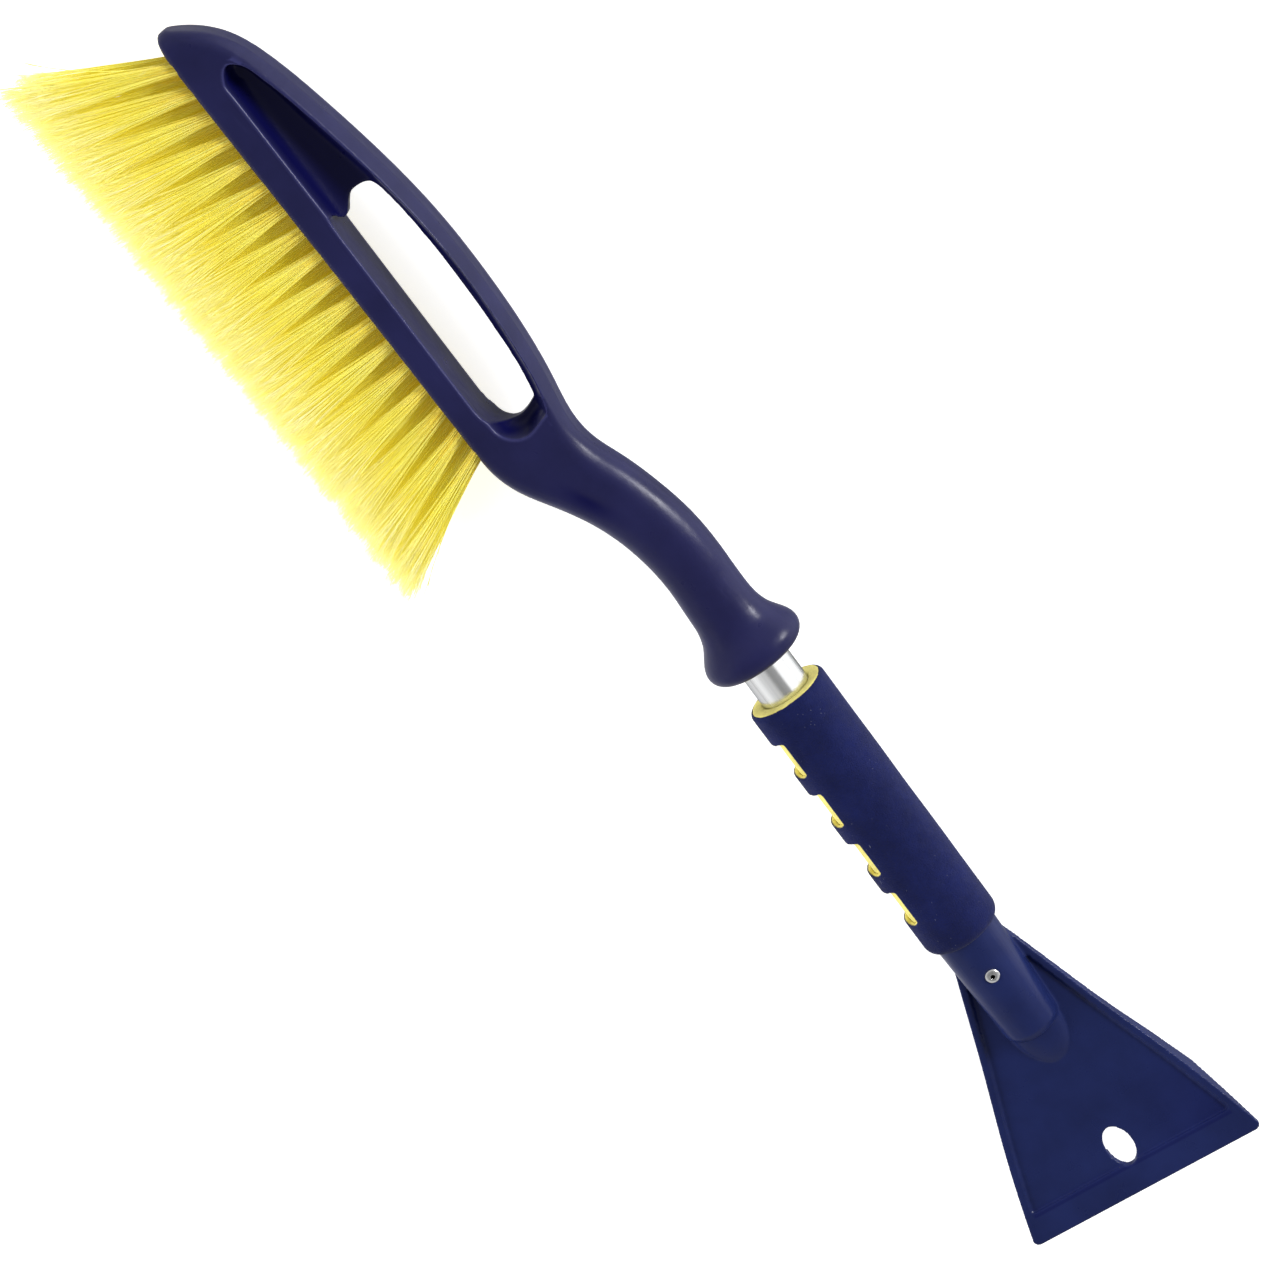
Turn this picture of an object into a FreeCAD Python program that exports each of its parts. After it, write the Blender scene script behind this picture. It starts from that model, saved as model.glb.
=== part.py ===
import FreeCAD, Part

import math
import os

import Sketcher
from FreeCAD import Placement, Rotation, Vector

# Snow brush and windshield ice scraper.
#
# Design frame: X runs along the tube axis towards the scraper, Y points from the bristles to the
# loop handle, Z points out of the side the tool doesn't lie on. The design origin is on the tube
# axis, between the bell and the grip. Every sub-part is then shifted so that the row's origin is
# under the middle of the tool, on the surface that it lies on.

doc = FreeCAD.newDocument("snow_brush")
sheet = doc.addObject("Spreadsheet::Sheet", "dims")

DIMENSIONS = {
    # shift of the design frame into the row frame
    "shift_x": 36.2,
    "shift_y": 25.4,
    "shift_z": 21.7,
    # handle tube
    "tube_radius": 10.95,
    "tube_wall": 1.1,
    "tube_start": -50,
    "tube_length": 238,
    "bore_radius": 11.0,
    # foam grip
    "grip_start": 11.8,
    "grip_length": 128.6,
    "inner_foam_radius": 15.0,
    "inner_foam_lip": 16.4,
    "outer_foam_radius": 17.4,
    "foam_lip_length": 4,
    "notch_start": 26.4,
    "notch_length": 16.4,
    "notch_pitch": 26.6,
    "notch_count": 4,
    "notch_level": -10,
    # brush head
    "head_half": 12.5,
    "web_half": 2.6,
    "bell_bore_end": -51,
    # tufts
    "tuft_pitch": 10.9,
    "tuft_count": 18,
    "last_tuft_x": -140.5,
    "row_spacing": 7.4,
    "tuft_root_radius": 2.85,
    "tuft_tip_radius": 6.0,
    "tuft_hole_radius": 2.9,
    "tuft_root_depth": 6.4,
    "tuft_hole_depth": 8.3,
    "nose_fan_angle": 21.5,
    "hand_fan_angle": 24.5,
    "row_angle": 3.4,
    "anchor_width": 5.2,
    "anchor_height": 1.6,
    "anchor_thickness": 0.4,
    # scraper head
    "socket_start": 140.6,
    "socket_radius": 14.2,
    "socket_end_radius": 12.7,
    "socket_length": 56.3,
    "socket_depth": 48,
    "edge_x": 283.2,
    "edge_half": 55.6,
    "edge_level": 11,
    "rim_angle": 6.4,
    "rim_width": 4,
    "rim_depth": 1.4,
    "floor_thickness": 2.2,
    "edge_thickness": 1.6,
    "recess_end_x": 271,
    "hole_x": 261.3,
    "hole_half_length": 9.4,
    "hole_half_width": 6.0,
    "fairing_length": 22,
    "fairing_half": 11.9,
    "fairing_height": 5,
    # rivet
    "rivet_x": 160.4,
    "rivet_tilt": 7,
    "rivet_shank": 2.1,
    "rivet_bore": 0.95,
    "rivet_head": 3.2,
    "rivet_head_height": 1.3,
    "rivet_seat": 13.1,
    "seat_radius": 3.75,
}

for row, (alias, value) in enumerate(DIMENSIONS.items(), start=1):
    sheet.set(f"A{row}", alias)
    sheet.set(f"B{row}", str(value))
    sheet.setAlias(f"B{row}", alias)
doc.recompute()


def dim(alias):
    """A driving dimension, read back from the sheet."""
    return float(sheet.get(alias))


def bind(thing, **expressions):
    """Bind properties to expressions over the sheet. A double underscore stands for a dot."""
    for name, expression in expressions.items():
        thing.setExpression(name.replace("__", "."), expression)


def place_in_row(thing):
    """Shift a sub-part that is modelled in the design frame into the row frame."""
    bind(
        thing,
        Placement__Base__x="dims.shift_x",
        Placement__Base__y="dims.shift_y",
        Placement__Base__z="dims.shift_z",
    )


def new_body(name):
    body = doc.addObject("PartDesign::Body", name)
    body.Label = name
    return body


def origin_plane(body, role):
    return next(f for f in body.Origin.OriginFeatures if f.Role == role)


def new_sketch(body, name, role, offset=Placement()):
    """A sketch on one of the body's own origin planes, moved by the attachment offset."""
    sketch = body.newObject("Sketcher::SketchObject", name)
    sketch.AttachmentSupport = [(origin_plane(body, role), "")]
    sketch.MapMode = "FlatFace"
    sketch.AttachmentOffset = offset
    return sketch


def along(distance):
    return Placement(Vector(0, 0, distance), Rotation())


def polyline(sketch, points):
    """A closed outline of straight lines, joined end to end."""
    count = len(points)
    first = len(sketch.Geometry)
    for i, point in enumerate(points):
        following = points[(i + 1) % count]
        sketch.addGeometry(Part.LineSegment(Vector(*point, 0), Vector(*following, 0)), False)
    for i in range(count):
        sketch.addConstraint(
            Sketcher.Constraint("Coincident", first + i, 2, first + (i + 1) % count, 1)
        )


def circle(sketch, alias, centre=(0, 0)):
    """A circle whose radius is a cell of the sheet."""
    index = sketch.addGeometry(Part.Circle(Vector(*centre, 0), Vector(0, 0, 1), dim(alias)), False)
    constraint = sketch.addConstraint(Sketcher.Constraint("Radius", index, dim(alias)))
    sketch.setExpression(f"Constraints[{constraint}]", f"dims.{alias}")


# ---------------------------------------------------------------- handle tube


def rivet_axis_offset(height):
    """Where the tilted rivet axis starts, for a sketch plane that faces along it."""
    tilt = Rotation(Vector(1, 0, 0), -dim("rivet_tilt"))
    return Placement(Vector(dim("rivet_x"), 0, 0) + tilt.multVec(Vector(0, 0, height)), tilt)


def make_tube():
    body = new_body("handle_tube")
    ring = new_sketch(body, "tube_ring", "YZ_Plane")
    bind(ring, AttachmentOffset__Base__z="dims.tube_start")
    circle(ring, "tube_radius")
    inner = ring.addGeometry(
        Part.Circle(Vector(), Vector(0, 0, 1), dim("tube_radius") - dim("tube_wall")), False
    )
    inner_radius = dim("tube_radius") - dim("tube_wall")
    constraint = ring.addConstraint(Sketcher.Constraint("Radius", inner, inner_radius))
    ring.setExpression(f"Constraints[{constraint}]", "dims.tube_radius - dims.tube_wall")
    pad = body.newObject("PartDesign::Pad", "tube_pad")
    pad.Profile = ring
    bind(pad, Length="dims.tube_length")
    rivet_hole = new_sketch(body, "tube_rivet_hole", "XY_Plane", rivet_axis_offset(0))
    circle(rivet_hole, "rivet_shank")
    pocket = body.newObject("PartDesign::Pocket", "tube_rivet_pocket")
    pocket.Profile = rivet_hole
    pocket.Midplane = True
    bind(pocket, Length="4 * dims.tube_radius")
    place_in_row(body)
    return body


# ---------------------------------------------------------------- foam grip


def revolve_about_x(body, name, points):
    """A ring or a turned solid from a half profile of (x, radius) points."""
    profile = new_sketch(body, name + "_profile", "XY_Plane")
    polyline(profile, points)
    turned = body.newObject("PartDesign::Revolution", name)
    turned.Profile = profile
    turned.ReferenceAxis = (origin_plane(body, "X_Axis"), [""])
    turned.Angle = 360
    return turned


def foam_profile_points():
    start = dim("grip_start")
    end = start + dim("grip_length")
    lip = start + dim("foam_lip_length")
    return start, end, lip


def make_inner_sleeve():
    body = new_body("grip_inner_sleeve")
    start, end, lip = foam_profile_points()
    inner, outer = dim("bore_radius"), dim("inner_foam_radius")
    points = [(start, inner), (end, inner), (end, outer), (lip, outer), (start, dim("inner_foam_lip"))]
    revolve_about_x(body, "inner_sleeve_turn", points)
    place_in_row(body)
    return body


def make_outer_sleeve():
    body = new_body("grip_outer_sleeve")
    start, end, lip = foam_profile_points()
    inner, outer = dim("inner_foam_radius"), dim("outer_foam_radius")
    points = [(start, dim("inner_foam_lip")), (lip, inner), (end, inner), (end, outer), (start, outer)]
    revolve_about_x(body, "outer_sleeve_turn", points)
    # One finger notch: square at its start, a flat floor, and a far end hollowed out like a hook.
    level = dim("notch_level")
    x_start = dim("notch_start")
    x_end = x_start + dim("notch_length")
    below = -1.2 * outer
    notch = new_sketch(body, "notch_outline", "XY_Plane")
    points = [(x_start + 0.5, below), (x_end, below), (x_end + 0.3, level - 6), (x_end + 1.2, level - 4.4)]
    points += [(x_end + 1.0, level - 2), (x_end - 0.3, level), (x_start - 0.3, level)]
    points += [(x_start, level - 3), (x_start + 0.5, level - 6)]
    polyline(notch, points)
    pocket = body.newObject("PartDesign::Pocket", "notch_pocket")
    pocket.Profile = notch
    pocket.Midplane = True
    bind(pocket, Length="4 * dims.outer_foam_radius")
    doc.recompute()
    pattern = body.newObject("PartDesign::LinearPattern", "notch_pattern")
    pattern.Originals = [pocket]
    pattern.Direction = (origin_plane(body, "X_Axis"), [""])
    bind(
        pattern,
        Length="dims.notch_pitch * (dims.notch_count - 1)",
        Occurrences="dims.notch_count",
    )
    body.Tip = pattern
    place_in_row(body)
    return body


# ---------------------------------------------------------------- brush head

# Cross-sections of the moulding from nose to bell:
# x, top, bottom, half thickness, radius of the upper corners, radius of the lower corners.
HEAD_STATIONS = [
    (-339.2, -38.6, -41.8, 4.0, 1.5, 1.5),
    (-337.4, -35.8, -42.6, 7.6, 3.2, 2.4),
    (-333.5, -30.0, -43.0, 10.4, 6.0, 2.8),
    (-324.0, -21.0, -42.9, 12.0, 7.5, 2.8),
    (-309.0, -14.2, -42.6, 12.5, 7.5, 2.8),
    (-285.0, -7.9, -42.2, 12.5, 7.0, 2.8),
    (-255.0, -1.9, -41.6, 12.5, 6.5, 2.8),
    (-225.0, 2.0, -41.1, 12.5, 6.0, 2.8),
    (-195.0, 3.0, -40.7, 12.5, 6.0, 2.8),
    (-165.0, 1.7, -40.4, 12.5, 6.0, 2.8),
    (-145.0, -0.9, -40.3, 12.5, 6.5, 3.5),
    (-130.0, -3.0, -40.1, 12.6, 8.0, 6.0),
    (-119.0, -1.7, -37.4, 12.8, 10.0, 9.0),
    (-106.0, 3.4, -30.4, 13.0, 11.6, 11.6),
    (-90.0, 8.8, -21.6, 13.2, 12.6, 12.6),
    (-70.0, 13.0, -15.2, 13.3, 12.9, 12.9),
    (-50.0, 13.9, -13.1, 13.4, 13.0, 13.0),
]
# The bell's outline: x, radius. It flares from the neck and rolls in to a flat mouth.
BELL_STATIONS = [
    (-36.0, 13.7),
    (-29.0, 14.2),
    (-23.5, 15.7),
    (-19.0, 18.2),
    (-15.0, 20.7),
    (-11.2, 21.7),
    (-8.2, 20.8),
    (-6.2, 18.4),
    (-5.4, 15.4),
]


def rounded_section(sketch, top, bottom, half, r_top, r_bottom):
    """A section with four straight sides and four rounded corners. Sketch x is Y, sketch y is Z."""
    corners = [
        (top, half, r_top, 0),
        (bottom, half, r_bottom, 90),
        (bottom, -half, r_bottom, 180),
        (top, -half, r_top, 270),
    ]
    arcs = []
    for y, z, radius, start in corners:
        centre = Vector(y - math.copysign(radius, y - (top + bottom) / 2), z - math.copysign(radius, z), 0)
        ring = Part.Circle(centre, Vector(0, 0, 1), radius)
        arcs.append(Part.ArcOfCircle(ring, math.radians(start), math.radians(start + 90)))
    for i, arc in enumerate(arcs):
        sketch.addGeometry(arc, False)
        following = arcs[(i + 1) % 4]
        sketch.addGeometry(Part.LineSegment(arc.EndPoint, following.StartPoint), False)
    for i in range(8):
        sketch.addConstraint(Sketcher.Constraint("Coincident", i, 2, (i + 1) % 8, 1))


def make_head_envelope():
    """The outside of the moulding, lofted from the nose through the neck to the bell's mouth."""
    body = new_body("head_envelope")
    flat = 0.4
    stations = HEAD_STATIONS + [(x, r, -r, r, r - flat, r - flat) for x, r in BELL_STATIONS]
    sections = []
    for i, (x, top, bottom, half, r_top, r_bottom) in enumerate(stations):
        section = new_sketch(body, f"head_section_{i:02d}", "YZ_Plane", along(x))
        rounded_section(section, top, bottom, half, r_top, r_bottom)
        sections.append(section)
    doc.recompute()
    loft = body.newObject("PartDesign::AdditiveLoft", "head_loft")
    loft.Profile = sections[0]
    loft.Sections = sections[1:]
    loft.Ruled = False
    return body


def spline_edge(points):
    """A smooth edge through the points."""
    curve = Part.BSplineCurve()
    curve.interpolate([Vector(x, y, 0) for x, y in points])
    return curve


def extrusion(name, sketch, length):
    solid = doc.addObject("Part::Extrusion", name)
    solid.Base = sketch
    solid.DirMode = "Normal"
    solid.Solid = True
    bind(solid, LengthFwd=length)
    return solid


# The rim of the dished recess, a teardrop. It runs against the clock in four stretches, each from
# its first point to the first point of the next: lower side, hand end, upper side, nose end.
DISH_RIM = [
    [(-303, -30.3)],
    [(-148, -28.4), (-139.6, -25.6), (-136.2, -18.0), (-138.8, -8.8)],
    [(-147, -4.2), (-165, -1.5), (-195, 0.3), (-225, -1.0), (-255, -5.5), (-285, -11.8)],
    [(-305, -17.2), (-313.4, -20.8), (-316.0, -25.6), (-311.5, -29.8)],
]
# The wall of the recess from above the surface down to the web: share of the depth, inset.
DISH_WALL = [(1.25, -0.5), (0.85, 0.3), (0.5, 1.1), (0.25, 2.2), (0.08, 3.7), (0.0, 5.5)]
NOSE_END = -318
# The walls get tighter towards the nose: the least share of an inset, and the run of the change.
TIGHT_SHARE = 0.45
TIGHT_RUN = 60
# The lower wall curves in further than the rest. This begins at the level, over the depth below it,
# and behind the nose end, over the run.
BOWL_LEVEL = -24
BOWL_DEPTH = 6
BOWL_START = NOSE_END + 2
BOWL_RUN = 25
BOWL_SHARE = 1.8


def fraction(value):
    """The value, held between 0 and 1."""
    return min(1, max(0, value))


def inset_ring(stretches, distance, bowl):
    """The stretches of a closed outline, moved inwards, and the direction where each begins."""
    points = [point for stretch in stretches for point in stretch]
    moved, directions = [], []
    for i, (x, y) in enumerate(points):
        before, after = points[i - 1], points[(i + 1) % len(points)]
        run = Vector(after[0] - before[0], after[1] - before[1], 0).normalize()
        own = distance * min(1, TIGHT_SHARE + (x - NOSE_END) / TIGHT_RUN)
        low = fraction((BOWL_LEVEL - y) / BOWL_DEPTH)
        own *= 1 + BOWL_SHARE * low * fraction((x - BOWL_START) / BOWL_RUN) * bowl
        moved.append(Vector(x - run.y * own, y + run.x * own, 0))
        directions.append(run)
    starts = [sum(len(stretch) for stretch in stretches[:i]) for i in range(len(stretches))]
    return moved, directions, starts


def draw_ring(sketch, stretches, distance, bowl):
    """A straight lower side, then splines that join each other and the straight side smoothly."""
    points, directions, starts = inset_ring(stretches, distance, bowl)
    side = (points[starts[1]] - points[0]).normalize()
    directions[0] = side
    directions[starts[1]] = side
    sketch.addGeometry(Part.LineSegment(points[0], points[starts[1]]), False)
    for begin, end in zip(starts[1:], starts[2:] + [len(points)]):
        stretch = points[begin:end] + [points[end % len(points)]]
        curve = Part.BSplineCurve()
        curve.interpolate(
            Points=stretch,
            InitialTangent=directions[begin],
            FinalTangent=directions[end % len(points)],
        )
        sketch.addGeometry(curve, False)


def make_dish():
    """The dished recess on one side: a teardrop rim and a wall that curves in to the web."""
    depth, web = dim("head_half") - dim("web_half"), dim("web_half")
    rings = []
    for i, (share, inset) in enumerate(DISH_WALL):
        ring = doc.addObject("Sketcher::SketchObject", f"dish_ring_{i}")
        ring.Placement = along(web + share * depth)
        draw_ring(ring, DISH_RIM, inset, 1 if inset > 0 else 0)
        rings.append(ring)
    dish = doc.addObject("Part::Loft", "dish")
    dish.Sections = rings
    dish.Solid = True
    mirrored = doc.addObject("Part::Mirroring", "dish_behind")
    mirrored.Source = dish
    mirrored.Normal = Vector(0, 0, 1)
    return dish, mirrored


# The outline of the hand opening, in the same order as the dish rim.
OPENING = [
    [(-235, -29.9)],
    [(-156, -29.4), (-146.2, -25.6), (-142.9, -17.6), (-145.2, -10.8)],
    [(-155, -7.4), (-175, -5.7), (-200, -5.2), (-225, -5.8)],
    [(-245, -8.1), (-249.9, -10.4), (-251.2, -15.0), (-249.4, -20.8), (-244.5, -26.3)],
]


def make_opening():
    """The hand opening that goes right through the web."""
    outline = doc.addObject("Sketcher::SketchObject", "opening_outline")
    outline.Placement = along(-2 * dim("head_half"))
    draw_ring(outline, OPENING, 0, 0)
    return extrusion("hand_opening", outline, "4 * dims.head_half")


def tuft_poses():
    """Row name, number, root point and direction of every tuft, row by row."""
    rows = [("front", 1, 0), ("middle", 0, 1), ("back", -1, 0)]
    pitch, count, last_x = dim("tuft_pitch"), int(dim("tuft_count")), dim("last_tuft_x")
    centre = last_x - pitch * (count - 1) / 2
    half_span = pitch * (count - 1) / 2
    poses = []
    for row, side, stagger in rows:
        for i in range(count - stagger):
            x = last_x - pitch * (i + stagger / 2)
            share = (x - centre) / half_span
            end_lean = dim("hand_fan_angle") if share > 0 else -dim("nose_fan_angle")
            lean = math.radians(end_lean) * share**2
            tip_out = math.radians(dim("row_angle")) * side
            direction = Vector(math.sin(lean), -math.cos(lean) * math.cos(tip_out), math.sin(tip_out))
            root = Vector(x, block_bottom(x), side * dim("row_spacing"))
            poses.append((row, i + 1, root, direction.normalize()))
    return poses


def block_bottom(x):
    """Height of the block's underside, which drops slightly towards the nose."""
    return -40.5 + 0.012 * (x + 165)


def pose_placement(root, direction, depth):
    """A placement whose Z axis follows the tuft, starting at a depth inside the block."""
    return Placement(root - direction * depth, Rotation(Vector(0, 0, 1), direction))


def row_shift():
    return Vector(dim("shift_x"), dim("shift_y"), dim("shift_z"))


def make_drill_holes():
    """One drilled hole for each tuft."""
    holes = []
    for row, number, root, direction in tuft_poses():
        hole = doc.addObject("Part::Cylinder", f"hole_{row}_{number:02d}")
        bind(hole, Radius="dims.tuft_hole_radius", Height="dims.tuft_hole_depth + 6")
        hole.Placement = pose_placement(root, direction, dim("tuft_hole_depth"))
        holes.append(hole)
    compound = doc.addObject("Part::Compound", "tuft_holes")
    compound.Links = holes
    return compound


def cut(name, base, tool):
    result = doc.addObject("Part::Cut", name)
    result.Base = base
    result.Tool = tool
    return result


def make_brush_head():
    envelope = make_head_envelope()
    dish_front, dish_back = make_dish()
    opening = make_opening()
    bore = doc.addObject("Part::Cylinder", "tube_bore")
    bind(bore, Radius="dims.bore_radius", Height="0 - dims.bell_bore_end")
    bore.Placement = Placement(Vector(dim("bell_bore_end"), 0, 0), Rotation(Vector(0, 1, 0), 90))
    head = cut("head_with_front_dish", envelope, dish_front)
    head = cut("head_with_dishes", head, dish_back)
    head = cut("head_with_opening", head, opening)
    head = cut("head_with_bore", head, bore)
    head = cut("brush_head", head, make_drill_holes())
    head.Label = "brush_head"
    place_in_row(head)
    return head


# ---------------------------------------------------------------- bristle tufts and anchors


def tuft_tip_distance(root, direction):
    """How far a tuft runs from the block to the trimmed tip line."""
    tip_level = -100.0 + 0.0195 * (root.x + 165)
    return (tip_level - root.y) / direction.y


def make_tufts():
    """Each tuft is a bundle of filaments, kept here as one plain solid: a root and a spread."""
    tufts = []
    for row, number, root, direction in tuft_poses():
        name = f"bristle_{row}_{number:02d}"
        stem = doc.addObject("Part::Cylinder", f"stem_{row}_{number:02d}")
        bind(stem, Radius="dims.tuft_root_radius", Height="dims.tuft_root_depth")
        stem.Placement = pose_placement(root, direction, dim("tuft_root_depth"))
        spread = doc.addObject("Part::Cone", f"spread_{row}_{number:02d}")
        bind(spread, Radius1="dims.tuft_root_radius", Radius2="dims.tuft_tip_radius")
        spread.Height = tuft_tip_distance(root, direction)
        spread.Placement = pose_placement(root, direction, 0)
        tuft = doc.addObject("Part::Fuse", name)
        tuft.Label = name
        tuft.Base = stem
        tuft.Tool = spread
        place_in_row(tuft)
        tufts.append(tuft)
    return tufts


def make_anchors():
    """A short piece of flat wire across the bottom of each hole, which the filaments fold over."""
    wires = []
    for row, number, root, direction in tuft_poses():
        wire = doc.addObject("Part::Box", f"wire_{row}_{number:02d}")
        bind(wire, Length="dims.anchor_width", Width="dims.anchor_thickness", Height="dims.anchor_height")
        corner = Placement(Vector(-dim("anchor_width") / 2, -dim("anchor_thickness") / 2, 0), Rotation())
        foot = dim("tuft_hole_depth") - 0.1
        wire.Placement = pose_placement(root, direction, foot).multiply(corner)
        wires.append(wire)
    anchors = doc.addObject("Part::Compound", "tuft_anchors")
    anchors.Label = "tuft_anchors"
    anchors.Links = wires
    place_in_row(anchors)
    return anchors


# ---------------------------------------------------------------- scraper head


# Half width of the blade at distances along it, up to where its front corners start.
BLADE_SIDE = [(150, 12.2), (165, 17.4), (180, 22.4), (200, 29.1), (220, 36.2), (240, 43.2), (260, 49.5)]
# Side view of the blade's lower edge: x, level.
SKIRT = [(140, -8.0), (200, -2.6), (247, -1.5)]


def blade_outline(sketch, inset, x_end, corner):
    """The plan of the blade: flared sides, rounded front corners and a straight front edge."""
    end_share = (x_end - BLADE_SIDE[-1][0]) / (dim("edge_x") - BLADE_SIDE[-1][0])
    half_end = BLADE_SIDE[-1][1] + (dim("edge_half") - BLADE_SIDE[-1][1]) * end_share - inset
    side = [(x, half - inset) for x, half in BLADE_SIDE]
    side.append((x_end - corner, half_end - 0.1 * corner))
    for sign in (1, -1):
        sketch.addGeometry(spline_edge([(x, sign * half) for x, half in side]), False)
        middle = Vector(x_end - 0.25 * corner, sign * (half_end - 0.32 * corner), 0)
        front = Vector(x_end, sign * (half_end - corner), 0)
        start = Vector(side[-1][0], sign * side[-1][1], 0)
        sketch.addGeometry(Part.Arc(start, middle, front), False)
    front_half = half_end - corner
    sketch.addGeometry(
        Part.LineSegment(Vector(x_end, front_half, 0), Vector(x_end, -front_half, 0)), False
    )
    back_x, back_half = side[0]
    sketch.addGeometry(
        Part.LineSegment(Vector(back_x, back_half, 0), Vector(back_x, -back_half, 0)), False
    )


def rim_level(x):
    """Height of the blade's front rim, which rises evenly to the cutting edge."""
    return dim("edge_level") - (dim("edge_x") - x) * math.tan(math.radians(dim("rim_angle")))


def inclined_offset(depth):
    """The sketch plane parallel to the rim, a depth below it. Sketch x stays along the blade."""
    tilt = Rotation(Vector(0, 1, 0), -dim("rim_angle"))
    base = Vector(0, 0, rim_level(0))
    return Placement(base - tilt.multVec(Vector(0, 0, depth)), tilt)


def pocket_from(body, name, sketch, length, reversed_side):
    """A pocket, which has to take material away."""
    doc.recompute()
    before = body.Tip.Shape.Volume
    pocket = body.newObject("PartDesign::Pocket", name)
    pocket.Profile = sketch
    pocket.Reversed = reversed_side
    bind(pocket, Length=length)
    doc.recompute()
    if pocket.Shape.Volume > before - 1:
        raise RuntimeError(f"{name} cuts nothing")
    return pocket


def make_scraper_head():
    body = new_body("scraper_head")
    # The plan, padded as a thick slab and then cut to its side view.
    slab_depth = 30
    plan = new_sketch(body, "blade_plan", "XY_Plane", along(-slab_depth / 2))
    blade_outline(plan, 0, dim("edge_x"), 3)
    slab = body.newObject("PartDesign::Pad", "blade_slab")
    slab.Profile = plan
    slab.Length = slab_depth
    above = new_sketch(body, "above_rim", "XZ_Plane")
    high, start, end = slab_depth, 140, dim("edge_x") + 5
    polyline(above, [(start, rim_level(start)), (end, rim_level(end)), (end, high), (start, high)])
    top_cut = pocket_from(body, "rim_cut", above, "4 * dims.edge_half", False)
    top_cut.Midplane = True
    below = new_sketch(body, "below_skirt", "XZ_Plane")
    under_edge = dim("edge_level") - dim("edge_thickness")
    points = SKIRT + [(dim("edge_x"), under_edge), (end, under_edge), (end, -high), (start, -high)]
    polyline(below, points)
    under_cut = pocket_from(body, "skirt_cut", below, "4 * dims.edge_half", False)
    under_cut.Midplane = True
    # The shallow recess in front and the open hollow behind leave the floor and the rim.
    recess = new_sketch(body, "recess_outline", "XY_Plane", inclined_offset(0))
    blade_outline(recess, dim("rim_width"), dim("recess_end_x"), 2)
    pocket_from(body, "front_recess", recess, "dims.rim_depth", False)
    hollow = new_sketch(
        body, "hollow_outline", "XY_Plane", inclined_offset(dim("rim_depth") + dim("floor_thickness"))
    )
    blade_outline(hollow, dim("rim_width") - 1, dim("recess_end_x") - 8, 2)
    pocket_from(body, "back_hollow", hollow, "dims.edge_half", False)
    # The tapered socket with a rounded end, and the low fairing in front of it.
    start, length = dim("socket_start"), dim("socket_length")
    mouth, tip = dim("socket_radius"), dim("socket_end_radius")
    profile = [(start, 0), (start, mouth - 0.5), (start + 0.5, mouth), (start + length - 4, tip)]
    profile += [(start + length - 1.2, tip - 1.4), (start + length, tip - 4.2), (start + length, 0)]
    revolve_about_x(body, "socket_turn", profile)
    fairing = body.newObject("PartDesign::AdditiveEllipsoid", "fairing")
    fairing.AttachmentSupport = [(origin_plane(body, "XY_Plane"), "")]
    fairing.MapMode = "FlatFace"
    fairing.AttachmentOffset = along(rim_level(start + length) - dim("rim_depth") - 0.4)
    bind(
        fairing,
        AttachmentOffset__Base__x="dims.socket_start + dims.socket_length - 1",
        Radius1="dims.fairing_height",
        Radius2="dims.fairing_length",
        Radius3="dims.fairing_half",
    )
    bore = new_sketch(body, "socket_bore", "YZ_Plane")
    bind(bore, AttachmentOffset__Base__z="dims.socket_start")
    circle(bore, "bore_radius")
    pocket_from(body, "socket_pocket", bore, "dims.socket_depth", True)
    seat = new_sketch(body, "rivet_seat_outline", "XY_Plane", rivet_axis_offset(dim("rivet_seat")))
    circle(seat, "seat_radius")
    pocket_from(body, "rivet_seat_pocket", seat, "dims.socket_radius", True)
    back_seat = new_sketch(body, "back_seat_outline", "XY_Plane", rivet_axis_offset(-dim("rivet_seat")))
    circle(back_seat, "seat_radius")
    pocket_from(body, "back_seat_pocket", back_seat, "dims.socket_radius", False)
    rivet_hole = new_sketch(body, "socket_rivet_hole", "XY_Plane", rivet_axis_offset(0))
    circle(rivet_hole, "rivet_shank")
    through = pocket_from(body, "socket_rivet_pocket", rivet_hole, "4 * dims.socket_radius", False)
    through.Midplane = True
    hanging = new_sketch(body, "hanging_hole_outline", "XY_Plane", along(-slab_depth / 2))
    oval = Part.Ellipse(
        Vector(dim("hole_x"), 0, 0), dim("hole_half_length"), dim("hole_half_width")
    )
    hanging.addGeometry(oval, False)
    pocket_from(body, "hanging_hole", hanging, "2 * dims.edge_half", True)
    place_in_row(body)
    return body


# ---------------------------------------------------------------- rivet


def make_rivet():
    """A tubular rivet: a domed head in front, a rolled tail behind and a hollow shank."""
    body = new_body("socket_rivet")
    seat, height = dim("rivet_seat"), dim("rivet_head_height")
    shank, bore, head = dim("rivet_shank") - 0.05, dim("rivet_bore"), dim("rivet_head")
    profile = new_sketch(body, "rivet_profile", "XZ_Plane")
    points = [(bore, -seat - height), (shank + 0.2, -seat - height), (head - 0.2, -seat - 0.6)]
    points += [(head - 0.2, -seat), (shank, -seat), (shank, seat), (head, seat), (head, seat + 0.35)]
    points += [(head - 0.8, seat + height - 0.2), (bore + 0.5, seat + height), (bore, seat + height - 0.5)]
    polyline(profile, points)
    turned = body.newObject("PartDesign::Revolution", "rivet_turn")
    turned.Profile = profile
    turned.ReferenceAxis = (origin_plane(body, "Z_Axis"), [""])
    turned.Angle = 360
    tilt = rivet_axis_offset(0)
    body.Placement = Placement(tilt.Base + row_shift(), tilt.Rotation)
    return body


# ---------------------------------------------------------------- build, check, write


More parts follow.
